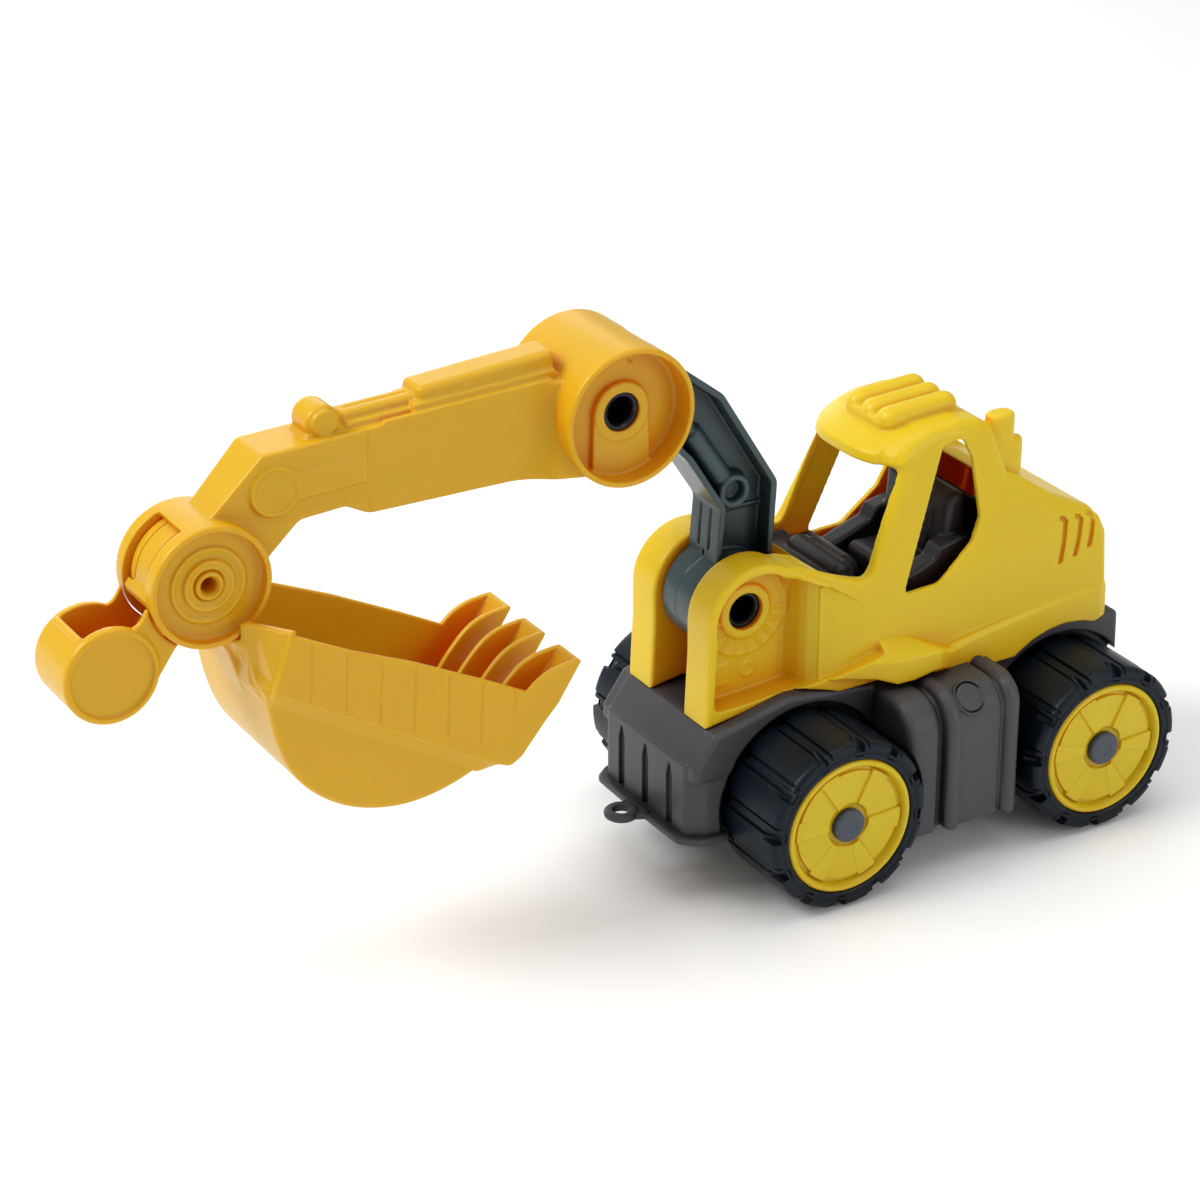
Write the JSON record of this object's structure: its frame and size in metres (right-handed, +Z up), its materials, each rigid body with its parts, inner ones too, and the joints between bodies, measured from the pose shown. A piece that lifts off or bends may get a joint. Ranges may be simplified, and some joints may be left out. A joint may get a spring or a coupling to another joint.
{
  "type": "toy excavator",
  "caption": "Child's sand-pit excavator with rolling wheels, a hand-worked three-joint digging arm, a toothed bucket with a grip handle and an open cab.",
  "frame": {"origin": "on the ground under the middle of the toy's overall length and width, arm as in the rest pose", "axes": "+Z up, -Y is the front of the vehicle and the way the arm reaches, +X is the vehicle's left side"},
  "size_m": [0.1356, 0.4463, 0.2282],
  "materials": {
    "chassis_grey": "satin moulded polypropylene, dark warm grey",
    "cab_yellow": "semi-gloss moulded polypropylene, bright yellow",
    "arm_yellow": "semi-gloss moulded polypropylene, golden yellow",
    "rim_yellow": "semi-gloss moulded polypropylene, lemon yellow",
    "cabin_black": "satin moulded polypropylene, charcoal",
    "link_slate": "semi-gloss slate grey polypropylene",
    "tyre_black": "satin blow-moulded blue-black polyethylene",
    "cap_blue_grey": "satin blue grey",
    "pin_black": "glossy black",
    "steel": "drawn rod"
  },
  "bodies": {
    "base": {"chassis": "chassis_grey", "cab_body": "cab_yellow", "cabin_insert": "cabin_black", "front_axle": "steel", "rear_axle": "steel", "front_left_hub_cap": "cap_blue_grey", "front_right_hub_cap": "cap_blue_grey", "rear_left_hub_cap": "cap_blue_grey", "rear_right_hub_cap": "cap_blue_grey", "lower_pin": "pin_black", "lower_pin_ring": "pin_black"},
    "link": {"lower_link": "link_slate"},
    "stick": {"stick": "arm_yellow", "upper_pin": "pin_black", "upper_pin_ring": "pin_black", "bucket_pin": "arm_yellow", "bucket_pin_ring": "arm_yellow"},
    "bucket": {"bucket": "arm_yellow", "bucket_handle": "arm_yellow"},
    "front_left_wheel": {"front_left_tyre": "tyre_black", "front_left_rim": "rim_yellow"},
    "front_right_wheel": {"front_right_tyre": "tyre_black", "front_right_rim": "rim_yellow"},
    "rear_left_wheel": {"rear_left_tyre": "tyre_black", "rear_left_rim": "rim_yellow"},
    "rear_right_wheel": {"rear_right_tyre": "tyre_black", "rear_right_rim": "rim_yellow"}
  },
  "joints": [
    {"name": "link_hinge", "type": "hinge", "parent": "base", "child": "link", "pos_m": [0, 0.0493, 0.1095], "axis": [1, 0, 0], "range_deg": [-20, 22]},
    {"name": "stick_hinge", "type": "hinge", "parent": "link", "child": "stick", "pos_m": [0, -0.0041, 0.2016], "axis": [1, 0, 0], "range_deg": [-20, 18]},
    {"name": "bucket_hinge", "type": "hinge", "parent": "stick", "child": "bucket", "pos_m": [0, -0.1674, 0.1706], "axis": [1, 0, 0], "range_deg": [-60, 20]},
    {"name": "front_left_spin", "type": "hinge", "parent": "base", "child": "front_left_wheel", "pos_m": [0, 0.0665, 0.035], "axis": [1, 0, 0], "continuous": true},
    {"name": "front_right_spin", "type": "hinge", "parent": "base", "child": "front_right_wheel", "pos_m": [0, 0.0665, 0.035], "axis": [1, 0, 0], "continuous": true},
    {"name": "rear_left_spin", "type": "hinge", "parent": "base", "child": "rear_left_wheel", "pos_m": [0, 0.188, 0.035], "axis": [1, 0, 0], "continuous": true},
    {"name": "rear_right_spin", "type": "hinge", "parent": "base", "child": "rear_right_wheel", "pos_m": [0, 0.188, 0.035], "axis": [1, 0, 0], "continuous": true}
  ]
}
